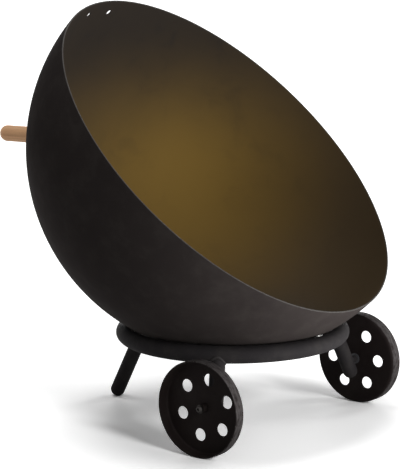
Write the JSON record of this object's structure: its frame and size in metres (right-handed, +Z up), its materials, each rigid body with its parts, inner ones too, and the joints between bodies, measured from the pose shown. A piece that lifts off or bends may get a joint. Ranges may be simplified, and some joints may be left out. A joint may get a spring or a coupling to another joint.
{
  "type": "fire bowl",
  "caption": "Free-standing steel fire bowl resting tilted in a tube ring on glide pads, with one rear leg, two disc wheels and a turned wooden handle peg at the back.",
  "frame": {"origin": "on the ground, under the middle of the whole outline", "axes": "+Z up, -Y the open front, +Y the back with the handle, +X the right wheel"},
  "size_m": [0.5981, 0.6188, 0.6127],
  "materials": {
    "bowl_black": "matt heat-proof black, heat-browned inside",
    "frame_black": "matt black powder coat",
    "wheel_black": "matt black powder coat, scuffed on the tread",
    "stainless": "plain stainless steel",
    "zinc_steel": "bright zinc plating",
    "blackened_steel": "blackened steel",
    "bronze": "plain sintered bronze",
    "nylon": "dark nylon",
    "beech": "oiled turned beech"
  },
  "bodies": {
    "stand": {"stand_ring": "frame_black", "back_leg": "frame_black", "left_leg": "frame_black", "right_leg": "frame_black", "back_foot_cap": "frame_black", "left_leg_cap": "frame_black", "right_leg_cap": "frame_black", "left_axle_boss": "frame_black", "right_axle_boss": "frame_black", "glide_pads": "stainless", "left_axle_sleeve": "zinc_steel", "right_axle_sleeve": "zinc_steel", "left_axle_bolt": "blackened_steel", "right_axle_bolt": "blackened_steel", "left_outer_washer": "blackened_steel", "right_outer_washer": "blackened_steel", "left_inner_washer": "nylon", "right_inner_washer": "nylon"},
    "bowl": {"bowl": "bowl_black", "handle_grip": "beech", "handle_collar": "frame_black", "handle_bolt": "stainless", "handle_washer": "stainless", "handle_insert": "zinc_steel"},
    "left_wheel": {"left_wheel": "wheel_black", "left_hub": "wheel_black", "left_bush": "bronze"},
    "right_wheel": {"right_wheel": "wheel_black", "right_hub": "wheel_black", "right_bush": "bronze"}
  },
  "joints": [
    {"name": "bowl_tilt", "type": "hinge", "parent": "stand", "child": "bowl", "pos_m": [0.00091, -0.09771, 0.4031], "axis": [0.9903, 0.1392, 0], "range_deg": [-45, 8]},
    {"name": "left_wheel_spin", "type": "hinge", "parent": "stand", "child": "left_wheel", "pos_m": [-0.19359, -0.191, 0.069], "axis": [1, 0, 0], "continuous": true},
    {"name": "right_wheel_spin", "type": "hinge", "parent": "stand", "child": "right_wheel", "pos_m": [0.19541, -0.191, 0.069], "axis": [1, 0, 0], "continuous": true}
  ]
}
